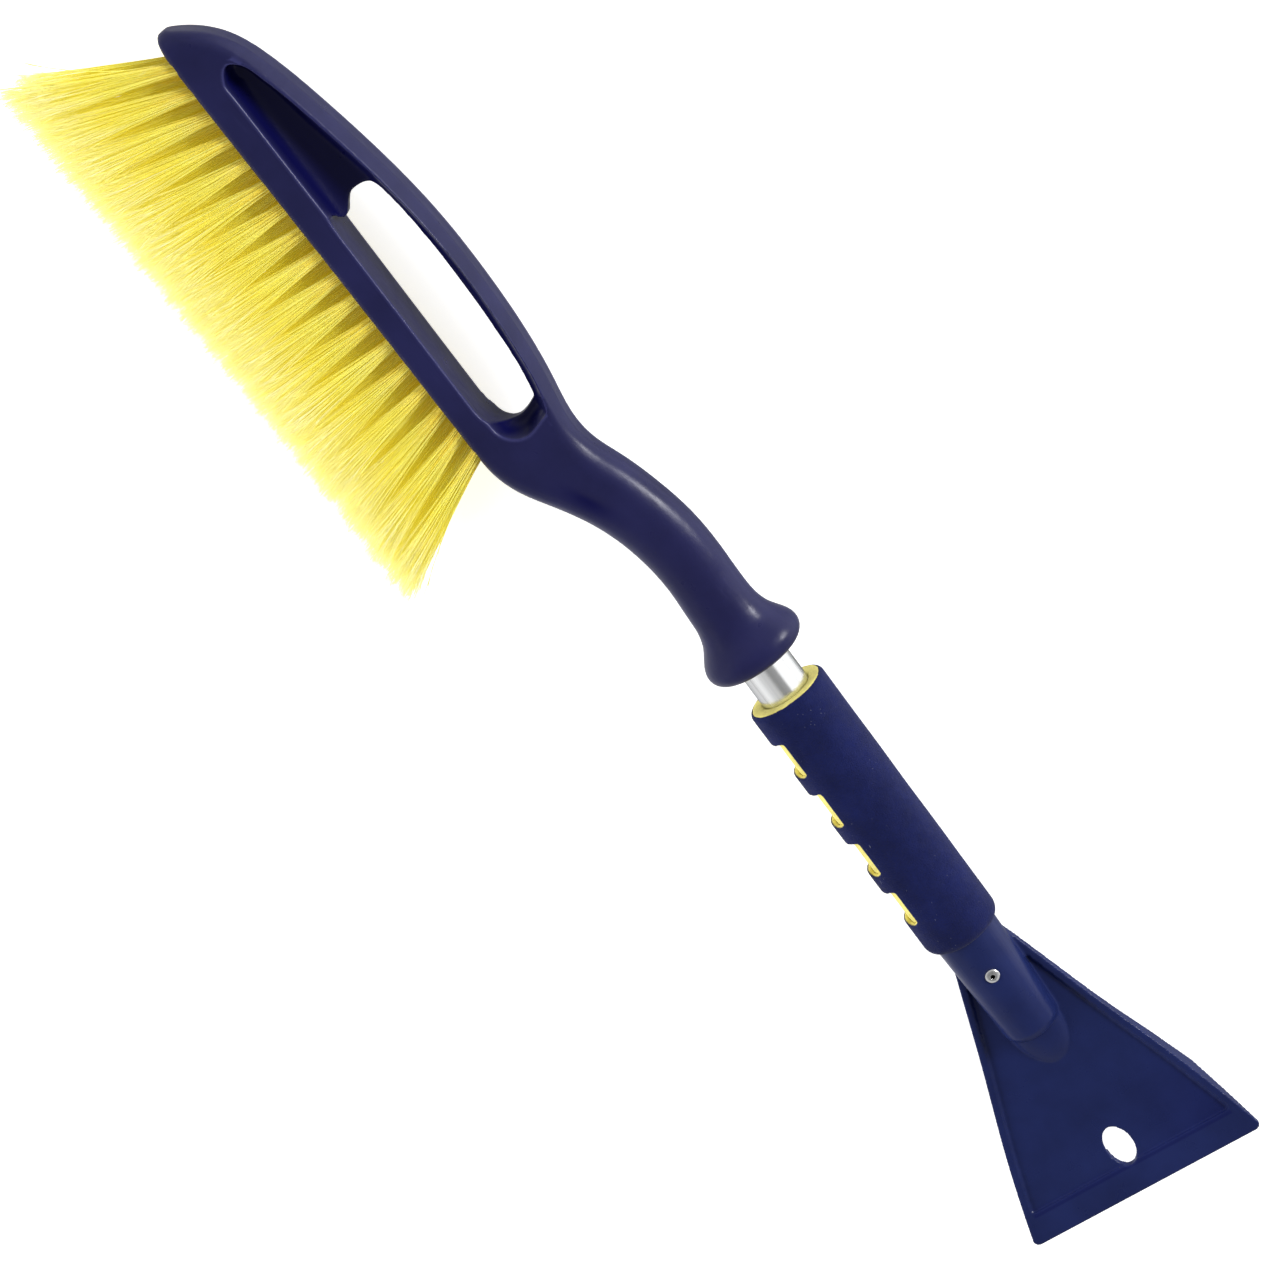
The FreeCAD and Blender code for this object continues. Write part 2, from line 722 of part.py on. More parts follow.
def main():
    parts = [make_brush_head()] + make_tufts()
    parts += [make_anchors(), make_tube(), make_inner_sleeve(), make_outer_sleeve()]
    parts += [make_scraper_head(), make_rivet()]
    doc.recompute()
    for thing in doc.Objects:
        if "Invalid" in thing.State or "Error" in thing.State:
            raise RuntimeError(f"{thing.Name} failed: {thing.State}")
    os.makedirs("parts", exist_ok=True)
    for part in parts:
        if part.Shape.isNull() or not part.Shape.isValid():
            raise RuntimeError(f"{part.Label} has no valid shape")
        part.Shape.exportStep(f"parts/{part.Label}.step")
    print(len(parts), "parts written")


main()
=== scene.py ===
import math

import bmesh
import bpy
import numpy as np
from mathutils import Matrix, Vector


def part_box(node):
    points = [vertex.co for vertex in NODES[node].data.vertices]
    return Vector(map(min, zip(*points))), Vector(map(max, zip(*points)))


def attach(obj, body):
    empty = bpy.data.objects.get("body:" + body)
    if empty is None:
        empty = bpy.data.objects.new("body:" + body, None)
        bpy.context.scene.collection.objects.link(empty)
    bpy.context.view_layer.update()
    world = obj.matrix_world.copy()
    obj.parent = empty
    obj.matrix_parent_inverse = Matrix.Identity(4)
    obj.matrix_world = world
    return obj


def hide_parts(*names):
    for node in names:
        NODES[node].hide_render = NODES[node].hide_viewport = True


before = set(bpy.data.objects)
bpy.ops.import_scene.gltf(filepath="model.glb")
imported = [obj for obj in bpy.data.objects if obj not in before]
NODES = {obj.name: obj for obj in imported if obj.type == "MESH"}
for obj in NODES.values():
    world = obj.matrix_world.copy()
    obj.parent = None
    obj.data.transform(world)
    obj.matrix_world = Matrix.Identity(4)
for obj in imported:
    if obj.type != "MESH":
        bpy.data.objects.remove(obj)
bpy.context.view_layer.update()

MM = 0.001
SEED = 397
SCENE = bpy.context.scene


# ---------------------------------------------------------------- shader helpers


class Graph:
    """A material made of nodes, with short calls for the nodes that it needs."""

    def __init__(self, name):
        self.material = bpy.data.materials.new(name)
        self.material.use_nodes = True
        self.tree = self.material.node_tree
        self.shader = self.tree.nodes["Principled BSDF"]
        self.place = self.tree.nodes.new("ShaderNodeTexCoord").outputs["Object"]

    def node(self, kind, inputs=(), **properties):
        made = self.tree.nodes.new(kind)
        for key, value in properties.items():
            setattr(made, key, value)
        for key, value in dict(inputs).items():
            self.put(made.inputs[key], value)
        return made

    def put(self, socket, value):
        if isinstance(value, bpy.types.NodeSocket):
            self.tree.links.new(value, socket)
        else:
            socket.default_value = value

    def stretched(self, scale):
        return self.node("ShaderNodeMapping", {"Vector": self.place, "Scale": scale}).outputs[0]

    def noise(self, scale, detail=3.0, roughness=0.55, place=None):
        """A soft noise. Its scale is in lumps to the metre."""
        inputs = {"Vector": place or self.place, "Scale": scale}
        inputs.update({"Detail": detail, "Roughness": roughness})
        return self.node("ShaderNodeTexNoise", inputs).outputs[0]

    def cells(self, scale):
        """The distance from the middle of the nearest cell. The scale is in cells to the metre."""
        inputs = {"Vector": self.place, "Scale": scale}
        return self.node("ShaderNodeTexVoronoi", inputs, feature="F1").outputs["Distance"]

    def spread(self, value, low, high, to_low=0.0, to_high=1.0):
        """A value between low and high, moved to another range and held inside it."""
        inputs = {0: value, 1: low, 2: high, 3: to_low, 4: to_high}
        return self.node("ShaderNodeMapRange", inputs, clamp=True).outputs[0]

    def whole(self, noise, to_low=0.0, to_high=1.0):
        """A noise over a whole range: nearly all of it lies between 0.3 and 0.7."""
        return self.spread(noise, 0.3, 0.7, to_low, to_high)

    def maths(self, operation, a, b):
        return self.node("ShaderNodeMath", {0: a, 1: b}, operation=operation).outputs[0]

    def times(self, a, b):
        return self.maths("MULTIPLY", a, b)

    def plus(self, a, b):
        return self.maths("ADD", a, b)

    def mix(self, share, a, b):
        made = self.node("ShaderNodeMix", {0: share}, data_type="RGBA")
        self.put(made.inputs[6], a if isinstance(a, bpy.types.NodeSocket) else (*a, 1.0))
        self.put(made.inputs[7], b if isinstance(b, bpy.types.NodeSocket) else (*b, 1.0))
        return made.outputs[2]

    def attribute(self, name):
        return self.node("ShaderNodeAttribute", attribute_name=name).outputs["Fac"]

    def bump(self, height, distance, strength):
        inputs = {"Height": height, "Distance": distance, "Strength": strength}
        self.put(self.shader.inputs["Normal"], self.node("ShaderNodeBump", inputs).outputs[0])

    def set(self, **inputs):
        for key, value in inputs.items():
            name = key.replace("_", " ")
            if isinstance(value, tuple):
                value = (*value, 1.0)
            self.put(self.shader.inputs[name], value)
        return self.material


def shade(colour, factor, grey=0.0):
    """A lighter or darker shade of a colour, with a little grey in it."""
    return tuple(channel * factor + grey for channel in colour)


def tinted(colour, tint):
    return tuple(channel * left for channel, left in zip(colour, tint))


# What is left of each channel of the plastic's colour where shade is painted into a recess or a
# crease.
RECESS_SHADE_TINT = (0.02, 0.02, 0.72)
CREASE_SHADE_TINT = (0.1, 0.1, 0.45)


def moulded_plastic(name, base, wear_and_sheen_share, gloss):
    """Satin polypropylene: a fine mould grain, soft flow marks, a few rubbed streaks, edges
    lightened by wear and a painted highlight. Attributes: "edge" is where handling polishes it and
    a highlight is painted,
    "rim" is a painted highlight, "recess" and "crease" are painted shade. gloss is the lowest and
    highest roughness."""
    g = Graph(name)
    colour = g.mix(g.whole(g.noise(38, 4)), shade(base, 0.84), shade(base, 1.18))
    streaks = g.noise(1.0, 3, 0.6, g.stretched((70, 420, 420)))
    rubbed = g.times(g.spread(streaks, 0.62, 0.74), g.spread(g.noise(22, 2), 0.5, 0.66))
    colour = g.mix(g.times(rubbed, 0.35), colour, shade(base, 1.5, 0.008))
    # Painted shade at the bottom of a recess.
    colour = g.mix(g.times(g.attribute("recess"), 0.75), colour, tinted(base, RECESS_SHADE_TINT))
    # Painted shade in creases.
    colour = g.mix(g.times(g.attribute("crease"), 0.75), colour, tinted(base, CREASE_SHADE_TINT))
    patchy = g.spread(g.noise(160, 3), 0.35, 0.7, 0.4, 1.0)
    wear_and_sheen = g.times(g.spread(g.attribute("edge"), 0.15, 0.9), patchy)
    # Edges are lightened: partly wear, partly a painted highlight.
    colour = g.mix(g.times(wear_and_sheen, wear_and_sheen_share), colour, shade(base, 1.7, 0.012))
    # Painted highlight on the rounded rim of a recess.
    colour = g.mix(g.times(g.attribute("rim"), 0.8), colour, shade(base, 2.1, 0.012))
    grain, peel, wave = g.noise(1900, 2, 0.6), g.noise(240, 2, 0.5), g.noise(150, 1, 0.5)
    height = g.plus(g.plus(g.times(grain, 0.5), g.times(peel, 0.8)), g.times(wave, 2.6))
    g.bump(height, distance=0.07 * MM, strength=0.55)
    rough = g.plus(g.whole(g.noise(95, 3), *gloss), g.times(rubbed, 0.12))
    rough = g.maths("SUBTRACT", rough, g.times(wear_and_sheen, 0.06))
    return g.set(Base_Color=colour, Roughness=rough, Specular_IOR_Level=0.2)


LINT = (0.42, 0.44, 0.5)


def closed_cell_foam(name, base, core, pores_per_metre, lint_share):
    """Matte closed-cell foam: open pores at the skin, mottling, and lint caught in it.
    The attribute "core" is 1 where a cut through the skin shows the colour inside."""
    g = Graph(name)
    mottled = g.mix(g.whole(g.noise(70, 5, 0.65)), shade(base, 0.78), shade(base, 1.22))
    mottled = g.mix(g.attribute("core"), mottled, core)
    # The pores are painted darker: painted shade in them.
    pits = g.spread(g.cells(pores_per_metre), 0.05, 0.5)
    painted_pit_shade = g.mix(0.55, mottled, (0.0, 0.0, 0.0))
    colour = g.mix(g.spread(pits, 0.0, 1.0, 0.35, 0.0), mottled, painted_pit_shade)
    specks = g.times(g.spread(g.cells(420), 0.09, 0.04), g.spread(g.noise(60, 2), 0.56, 0.66))
    hairs = g.noise(1.0, 2, 0.5, g.stretched((240, 900, 900)))
    hairs = g.times(g.spread(hairs, 0.72, 0.78), g.spread(g.noise(33, 2), 0.54, 0.62))
    colour = g.mix(g.times(g.maths("MAXIMUM", specks, hairs), lint_share), colour, LINT)
    fine = g.noise(pores_per_metre * 1.7, 3, 0.7)
    g.bump(g.plus(pits, g.times(fine, 0.6)), distance=0.16 * MM, strength=0.8)
    rough = g.whole(g.noise(300, 2), 0.82, 0.96)
    return g.set(
        Base_Color=colour,
        Roughness=rough,
        Specular_IOR_Level=0.18,
        Sheen_Weight=0.05,
        Sheen_Roughness=0.5,
    )


def drawn_aluminium(name):
    """A drawn tube: fine lines along its length over a satin metal."""
    g = Graph(name)
    lines = g.noise(1.0, 4, 0.7, g.stretched((16, 1500, 1500)))
    colour = g.mix(g.whole(lines), (0.90, 0.91, 0.92), (0.98, 0.985, 0.99))
    smudge = g.spread(g.noise(60, 3), 0.4, 0.7, 0.0, 0.06)
    rough = g.plus(g.whole(lines, 0.18, 0.27), smudge)
    g.bump(lines, distance=0.03 * MM, strength=0.5)
    return g.set(Base_Color=colour, Roughness=rough, Metallic=1.0, Specular_Tint=(0.55, 0.56, 0.58))


def bright_steel(name, base, gloss):
    """Plated steel with fine turning marks and a few dull spots. The attribute "bore" is 1 where
    it lies in a hole's shadow. gloss is the lowest and highest roughness."""
    g = Graph(name)
    colour = g.mix(g.spread(g.noise(900, 3), 0.5, 0.7), base, shade(base, 0.72))
    colour = g.mix(g.attribute("bore"), colour, (0.012, 0.012, 0.014))
    g.bump(g.noise(2500, 2), distance=0.03 * MM, strength=0.4)
    rough = g.whole(g.noise(500, 3), *gloss)
    return g.set(Base_Color=colour, Roughness=rough, Metallic=1.0)


def bristle_filament(name):
    """Clear yellow filament: deep gold towards the root, which is painted shade between the tufts,
    cream where its trimmed end is split.
    Attributes: "along" is 0 at the root and 1 at the tip, "tone" differs between filaments."""
    g = Graph(name)
    along, tone = g.attribute("along"), g.attribute("tone")
    # Deeper gold and a weaker glow towards the root are painted shade between the tufts.
    root = g.mix(tone, (0.92, 0.665, 0.065), (0.96, 0.775, 0.125))
    middle = g.mix(tone, (0.98, 0.87, 0.11), (0.98, 0.94, 0.21))
    tip = g.mix(tone, (1.0, 0.97, 0.42), (1.0, 0.99, 0.66))
    wobble = g.plus(along, g.spread(tone, 0.0, 1.0, -0.08, 0.08))
    colour = g.mix(g.spread(wobble, 0.02, 0.35), root, middle)
    colour = g.mix(g.spread(wobble, 0.55, 0.88), colour, tip)
    streak = g.noise(1.0, 2, 0.6, g.stretched((900, 60, 900)))
    colour = g.mix(g.spread(streak, 0.45, 0.75, 0.0, 0.3), colour, (1.0, 0.95, 0.45))
    # A painted glow, weakest at the root, stands in for light that comes through the neighbouring
    # filaments.
    return g.set(
        Base_Color=colour,
        Roughness=g.whole(streak, 0.34, 0.5),
        Specular_IOR_Level=0.2,
        Emission_Color=(1.0, 0.83, 0.05),
        Emission_Strength=g.spread(along, 0.1, 0.7, 0.05, 0.165),
    )


def pale_floor(name):
    """A near-white table top that glows, most of all round the object."""
    g = Graph(name)
    colour = g.mix(g.whole(g.noise(3, 3)), (0.90, 0.90, 0.90), (0.92, 0.92, 0.92))
    distance = g.node("ShaderNodeVectorMath", {0: g.place}, operation="LENGTH").outputs["Value"]
    return g.set(
        Base_Color=colour,
        Roughness=0.85,
        Specular_IOR_Level=0.1,
        Emission_Color=(1.0, 1.0, 1.0),
        Emission_Strength=g.spread(distance, 0.5, 4.0, 0.70, 0.0),
    )


YELLOW = (0.80, 0.71, 0.21)

HEAD_PLASTIC = moulded_plastic("head_plastic", (0.0135, 0.0140, 0.063), 0.5, (0.27, 0.36))
SCRAPER_PLASTIC = moulded_plastic("scraper_plastic", (0.0104, 0.0172, 0.083), 0.4, (0.26, 0.34))
NAVY_FOAM = closed_cell_foam("navy_foam", (0.0064, 0.0104, 0.069), YELLOW, 1500, 0.5)
YELLOW_FOAM = closed_cell_foam("yellow_foam", YELLOW, YELLOW, 1300, 0.12)
ALUMINIUM = drawn_aluminium("aluminium_tube")
RIVET = bright_steel("rivet_steel", (0.86, 0.86, 0.87), (0.10, 0.24))
ANCHOR = bright_steel("anchor_steel", (0.60, 0.60, 0.61), (0.28, 0.42))
BRISTLE = bristle_filament("bristle")
FLOOR = pale_floor("floor")


# ---------------------------------------------------------------- mesh helpers


def per_vertex(mesh, name):
    """One vector for each vertex, "co" or "normal", as three columns."""
    values = np.empty(len(mesh.vertices) * 3, np.float32)
    mesh.vertices.foreach_get(name, values)
    return values.reshape(-1, 3).astype(float)


def move_vertices(mesh, co):
    mesh.vertices.foreach_set("co", co.astype(np.float32).ravel())
    mesh.update()


def smooth_shaded(mesh):
    mesh.polygons.foreach_set("use_smooth", np.ones(len(mesh.polygons), bool))


def store(mesh, name, values):
    layer = mesh.attributes.new(name, "FLOAT", "POINT")
    layer.data.foreach_set("value", np.asarray(values, np.float32))


def ramp(value, start, end):
    """0 at start, 1 at end, straight between them and level outside."""
    return np.clip((value - start) / (end - start), 0, 1)


def placed(name, data):
    """A new object in the scene."""
    obj = bpy.data.objects.new(name, data)
    SCENE.collection.objects.link(obj)
    return obj


def evaluated(obj):
    """Applies the modifiers of an object to its mesh."""
    depsgraph = bpy.context.evaluated_depsgraph_get()
    mesh = bpy.data.meshes.new_from_object(obj.evaluated_get(depsgraph), depsgraph=depsgraph)
    old = obj.data
    obj.modifiers.clear()
    obj.data = mesh
    bpy.data.meshes.remove(old)
    return mesh


# Of a voxel: how far the rounding moves a point inwards on a full edge, and outwards in a crease.
EDGE_MOVE = 0.22
CREASE_MOVE = 0.3
CREASE_FROM = 0.25


def softened(name, node, voxel, rounds, shape=None):
    """A copy of a CAD solid as one even skin with its edges rounded over, as a mould leaves them.
    shape moves the skin's points before that. The attributes "edge" and "crease" are 1 where most
    was rounded off or filled in."""
    mesh = NODES[node].data.copy()
    obj = placed(name, mesh)
    bm = bmesh.new()
    bm.from_mesh(mesh)
    bmesh.ops.remove_doubles(bm, verts=bm.verts, dist=1e-6)
    bm.to_mesh(mesh)
    bm.free()
    remesh = obj.modifiers.new("skin", "REMESH")
    remesh.mode = "VOXEL"
    remesh.voxel_size = voxel
    mesh = evaluated(obj)
    sharp = per_vertex(mesh, "co")
    if shape:
        sharp = shape(sharp)
        move_vertices(mesh, sharp)
    smooth = obj.modifiers.new("round", "SMOOTH")
    smooth.factor = 0.5
    smooth.iterations = rounds
    mesh = evaluated(obj)
    moved = per_vertex(mesh, "co") - sharp
    inwards = -(moved * per_vertex(mesh, "normal")).sum(1)
    store(mesh, "edge", np.clip(inwards / (EDGE_MOVE * voxel), 0, 1))
    store(mesh, "crease", np.clip(-inwards / (CREASE_MOVE * voxel) - CREASE_FROM, 0, 1))
    smooth_shaded(mesh)
    return obj


def add_material(obj, material):
    obj.data.materials.clear()
    obj.data.materials.append(material)


def finish_piece(obj, material, slot, *nodes):
    """Gives a new piece its material and its body, and hides the CAD nodes that it stands for. slot
    is not used.
    """
    add_material(obj, material)
    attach(obj, "root")
    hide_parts(*nodes)


def dress_cad(node, material):
    """Puts a material on a CAD node that is shown as it is."""
    for slot in NODES[node].material_slots:
        slot.link = "OBJECT"
        slot.material = material


# ---------------------------------------------------------------- brush head

# On the brush head, "along" is measured from the nose, "y" and "side" from the tube's axis.
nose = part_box("brush_head")[0]
TUBE_AXIS = sum(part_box("handle_tube"), Vector()) / 2

# A flat face runs along both upper corners of the bar. Its line in a cross-section goes from low
# on the side to well across the top.
SLICE = 1.5 * MM
FACE_Y, FACE_Z = 0.911, 0.411
FACE_WIDTH = 8 * MM
FACE_START, FACE_FULL_FROM = 8 * MM, 22 * MM
FACE_FULL_TO, FACE_END = 196 * MM, 222 * MM
FRONT_SHARE, BACK_SHARE = 0.9, 0.3

# A shallow hollow for a fingertip lies on the front of the neck, along its lower side.
HOLLOW_ALONG, HOLLOW_Y = 238 * MM, -14.5 * MM
HOLLOW_COS, HOLLOW_SIN = 0.894, 0.448
HOLLOW_LENGTH, HOLLOW_WIDTH = 10 * MM, 3.4 * MM
HOLLOW_DEPTH = 1.2 * MM
HOLLOW_FROM_SIDE, HOLLOW_FULL_SIDE = 2 * MM, 6 * MM

# The dished recess, where shade is painted: its ends, its lower wall, how deep it is at its mouth
# and bottom (from the middle plane), and the loop's inner edge, under which it stops.
RECESS_START, RECESS_END = 20 * MM, 206 * MM
RECESS_END_FADE = 4 * MM
RECESS_FLOOR_Y = -30.4 * MM
RECESS_FLOOR_FADE = 0.8 * MM
RECESS_MOUTH, RECESS_BOTTOM = 11.8 * MM, 8 * MM
UNDER_LOOP_FROM, UNDER_LOOP_FULL = 1 * MM, 4 * MM
LOOP_ALONG = np.array([25, 34, 54, 84, 114, 144, 174, 192, 201]) * MM
LOOP_Y = TUBE_AXIS.y + np.array([-20.8, -17.2, -11.8, -5.5, -1.0, 0.3, -1.5, -4.2, -8.8]) * MM

# The rim of the recess, a thin line where the surface turns in from the flat side, with a painted
# highlight on it.
RIM_START, RIM_END = 21.5 * MM, 204.5 * MM
RIM_LOWEST_Y = -32.5 * MM
RIM_OVER_LOOP = 1.3 * MM
RIM_SIDE, RIM_WIDTH = 11.9 * MM, 0.65 * MM
FLAT_NORMAL, TURNED_NORMAL = 0.985, 0.93


def shape_head(co):
    """Makes the flat faces of the bar and the hollow of the neck."""
    along = co[:, 0] - nose.x
    z = co[:, 2] - TUBE_AXIS.z
    side = np.abs(z)
    index = (along / SLICE).astype(int)
    top = np.full(index.max() + 1, -1.0)
    np.maximum.at(top, index, co[:, 1])
    half = np.zeros(index.max() + 1)
    np.maximum.at(half, index, side)
    middle = (np.arange(len(top)) + 0.5) * SLICE
    top, half = np.interp(along, middle, top), np.interp(along, middle, half)
    proud = FACE_Y * (co[:, 1] - top) + FACE_Z * (side - half + FACE_WIDTH)
    fade = ramp(along, FACE_START, FACE_FULL_FROM) * ramp(along, FACE_END, FACE_FULL_TO)
    move = np.maximum(proud, 0) * np.where(z > 0, FRONT_SHARE, BACK_SHARE) * fade
    co[:, 1] -= FACE_Y * move
    co[:, 2] -= FACE_Z * move * np.sign(z)
    co[:, 2] -= HOLLOW_DEPTH * neck_hollow(co)
    return co


def neck_hollow(co):
    """1 in the middle of the neck's hollow, 0 away from it and on the back."""
    x, y = co[:, 0] - nose.x - HOLLOW_ALONG, co[:, 1] - TUBE_AXIS.y - HOLLOW_Y
    lengthways, across = HOLLOW_COS * x + HOLLOW_SIN * y, HOLLOW_COS * y - HOLLOW_SIN * x
    hollow = np.exp(-((lengthways / HOLLOW_LENGTH) ** 2) - (across / HOLLOW_WIDTH) ** 2)
    return hollow * ramp(co[:, 2] - TUBE_AXIS.z, HOLLOW_FROM_SIDE, HOLLOW_FULL_SIDE)


def recess_depth(co):
    """1 at the bottom of the recess, 0 at its mouth and everywhere outside it."""
    along = co[:, 0] - nose.x
    side = np.abs(co[:, 2] - TUBE_AXIS.z)
    ends = ramp(along, RECESS_START, RECESS_START + RECESS_END_FADE)
    ends *= ramp(along, RECESS_END, RECESS_END - RECESS_END_FADE)
    floor_y = TUBE_AXIS.y + RECESS_FLOOR_Y
    over_floor = ramp(co[:, 1], floor_y, floor_y + RECESS_FLOOR_FADE)
    loop = np.interp(along, LOOP_ALONG, LOOP_Y)
    under_loop = ramp(co[:, 1], loop - UNDER_LOOP_FROM, loop - UNDER_LOOP_FULL)
    return ramp(side, RECESS_MOUTH, RECESS_BOTTOM) * ends * over_floor * under_loop


def painted_rim_highlight(co, normals):
    """1 on the round edge between the flat face and the wall of the recess, where a highlight is
    painted.
    """
    along = co[:, 0] - nose.x
    side = np.abs(co[:, 2] - TUBE_AXIS.z)
    loop = np.interp(along, LOOP_ALONG, LOOP_Y)
    near = (along > RIM_START) & (along < RIM_END)
    near &= (co[:, 1] > TUBE_AXIS.y + RIM_LOWEST_Y) & (co[:, 1] < loop + RIM_OVER_LOOP)
    turned_in = ramp(np.abs(normals[:, 2]), FLAT_NORMAL, TURNED_NORMAL)
    return near * turned_in * np.exp(-(((side - RIM_SIDE) / RIM_WIDTH) ** 2))


head = softened("brush_head_moulding", "brush_head", voxel=0.66 * MM, rounds=3, shape=shape_head)
skin, skin_normals = per_vertex(head.data, "co"), per_vertex(head.data, "normal")
# Painted shade: the recess and the neck's hollow are darkened through this attribute.
store(head.data, "recess", np.maximum(recess_depth(skin), neck_hollow(skin)))
# Painted highlight along the rounded rim of the recess.
store(head.data, "rim", painted_rim_highlight(skin, skin_normals))
finish_piece(head, HEAD_PLASTIC, "navy_plastic", "brush_head")


# ---------------------------------------------------------------- scraper head

# The step, where the dish ends before the cutting edge, and the strip beside it that is painted
# darker as shade.
STEP_FROM_EDGE = 12.2 * MM
STEP_WIDTH = 0.4 * MM
STEP_STRIP, STEP_SHADE = 3.4 * MM, 0.55
# The corner that is painted darker as shade: its length back from the step, and its width from the
# tube's axis.
CORNER_LENGTH, CORNER_FULL_LENGTH, CORNER_SHADE = 45 * MM, 2 * MM, 0.4
CORNER_FROM_Y, CORNER_TO_Y = 4 * MM, 40 * MM
# The dish: half its width at the step, and how fast it widens. Its floor faces up.
DISH_HALF_WIDTH, DISH_FLARE = 48.5 * MM, 0.325
FACING_UP = 0.3


def painted_step_shade(co, normals):
    """Painted shade: along the step before the cutting edge, and in the dish's corner by it on the
    loop's side."""
    step_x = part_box("scraper_head")[1].x - STEP_FROM_EDGE
    x, y = co[:, 0], co[:, 1] - TUBE_AXIS.y
    strip = ramp(x, step_x - STEP_STRIP, step_x - STEP_WIDTH) * ramp(x, step_x + STEP_WIDTH, step_x)
    corner = ramp(x, step_x - CORNER_LENGTH, step_x - CORNER_FULL_LENGTH)
    corner *= ramp(y, CORNER_FROM_Y, CORNER_TO_Y) * (x < step_x - STEP_WIDTH)
    half_width = DISH_FLARE * (x - step_x) + DISH_HALF_WIDTH
    in_dish = (normals[:, 2] > FACING_UP) & (np.abs(y) < half_width)
    return np.maximum(STEP_SHADE * strip, CORNER_SHADE * corner) * in_dish


scraper = softened("scraper_moulding", "scraper_head", voxel=0.62 * MM, rounds=2)
skin, skin_normals = per_vertex(scraper.data, "co"), per_vertex(scraper.data, "normal")
# Painted shade by the step and in the dish's corner.
store(scraper.data, "recess", painted_step_shade(skin, skin_normals))
finish_piece(scraper, SCRAPER_PLASTIC, "navy_plastic", "scraper_head")


# ---------------------------------------------------------------- foam grip

# How the navy sleeve's ends are rounded, by the scraper and by the bell.
SCRAPER_END_ROUNDING, BELL_END_ROUNDING = 5 * MM, 2 * MM

# The end by the scraper laps a little over its socket, and its lip closes on it.
LAP = 2.6 * MM
LAP_REACH = 20 * MM
LIP_FROM, LIP_FULL = 0.85, 0.95
LIP_CLOSING = 0.045
LIP_RADIUS = 15.8 * MM

# In mm: how much before the end of its CAD solid the yellow core stops, and the length over which
# it is pressed back for that.
CORE_SHORTER, CORE_REACH = 2.5, 9

# The cut faces of the finger notches: how far in from the sleeve's ends and skin, and how low.
CUT_FROM_START, CUT_FROM_END = 8 * MM, 12 * MM
CUT_BELOW_Y = -9.0 * MM
CUT_SKIN, CUT_FULL = 0.55 * MM, 0.95 * MM

# How many waves make up the swell of the foam.
WAVES = 7


def uneven(obj, size, amplitude, seed):
    """Soft foam is never quite true: a slow swell over its surface."""
    mesh = obj.data
    co, n = per_vertex(mesh, "co"), per_vertex(mesh, "normal")
    rng = np.random.default_rng(seed)
    swell = np.zeros(len(co))
    for _ in range(WAVES):
        wave = rng.normal(size=3) * 2 * math.pi / size
        swell += np.sin(co @ wave + rng.uniform(0, 2 * math.pi))
    move_vertices(mesh, co + n * (swell / WAVES * amplitude)[:, None])


def rounded_end(co, end, inwards, radius):
    """Rounds the rim of a sleeve's end over, about the tube's axis."""
    depth = (co[:, 0] - end) * inwards
    y, z = co[:, 1] - TUBE_AXIS.y, co[:, 2] - TUBE_AXIS.z
    r = np.hypot(y, z)
    outside = r[(depth > radius) & (depth < 2 * radius)].max()
    left = np.clip(radius - depth, 0, radius)
    limit = outside - radius + np.sqrt(radius**2 - left**2)
    share = np.minimum(1, limit / np.maximum(r, 1e-6))
    share = np.where((depth < radius) & (r > outside - radius), share, 1)
    co[:, 1], co[:, 2] = TUBE_AXIS.y + y * share, TUBE_AXIS.z + z * share
    return co


def shape_foam(co):
    """Rounds both ends of the navy sleeve and laps one over the scraper's socket."""
    start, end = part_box("grip_outer_sleeve")
    co = rounded_end(co, end.x, -1, SCRAPER_END_ROUNDING)
    co = rounded_end(co, start.x, 1, BELL_END_ROUNDING)
    near = ramp(co[:, 0], end.x - LAP_REACH, end.x)
    co[:, 0] += LAP * near
    y, z = co[:, 1] - TUBE_AXIS.y, co[:, 2] - TUBE_AXIS.z
    lip = ramp(near, LIP_FROM, LIP_FULL) * (np.hypot(y, z) < LIP_RADIUS)
    co[:, 1] -= LIP_CLOSING * lip * y
    co[:, 2] -= LIP_CLOSING * lip * z
    return co


def shape_core(co):
    """The yellow core ends a little inside the navy sleeve at the scraper's end."""
    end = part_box("grip_inner_sleeve")[1].x
    past = np.maximum(0, co[:, 0] - (end - CORE_REACH * MM))
    co[:, 0] -= past * CORE_SHORTER / CORE_REACH
    return co


def cut_depth(co):
    """1 on the cut faces inside the finger notches, below the sleeve's navy skin."""
    start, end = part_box("grip_outer_sleeve")
    x, y, z = co[:, 0], co[:, 1] - TUBE_AXIS.y, co[:, 2] - TUBE_AXIS.z
    r = np.hypot(y, z)
    skin_radius = np.percentile(r, 95)
    inside = (x > start.x + CUT_FROM_START) & (x < end.x - CUT_FROM_END) & (y < CUT_BELOW_Y)
    return ramp(skin_radius - r, CUT_SKIN, CUT_FULL) * inside


outer_foam = softened("grip_foam_navy", "grip_outer_sleeve", 0.55 * MM, rounds=3, shape=shape_foam)
store(outer_foam.data, "core", cut_depth(per_vertex(outer_foam.data, "co")))
uneven(outer_foam, size=24 * MM, amplitude=0.22 * MM, seed=SEED)
finish_piece(outer_foam, NAVY_FOAM, "navy_foam", "grip_outer_sleeve")
inner_foam = softened("grip_foam_yellow", "grip_inner_sleeve", 0.7 * MM, rounds=2, shape=shape_core)
finish_piece(inner_foam, YELLOW_FOAM, "yellow_foam", "grip_inner_sleeve")


# ---------------------------------------------------------------- tube, rivet, anchors

dress_cad("handle_tube", ALUMINIUM)
dress_cad("tuft_anchors", ANCHOR)

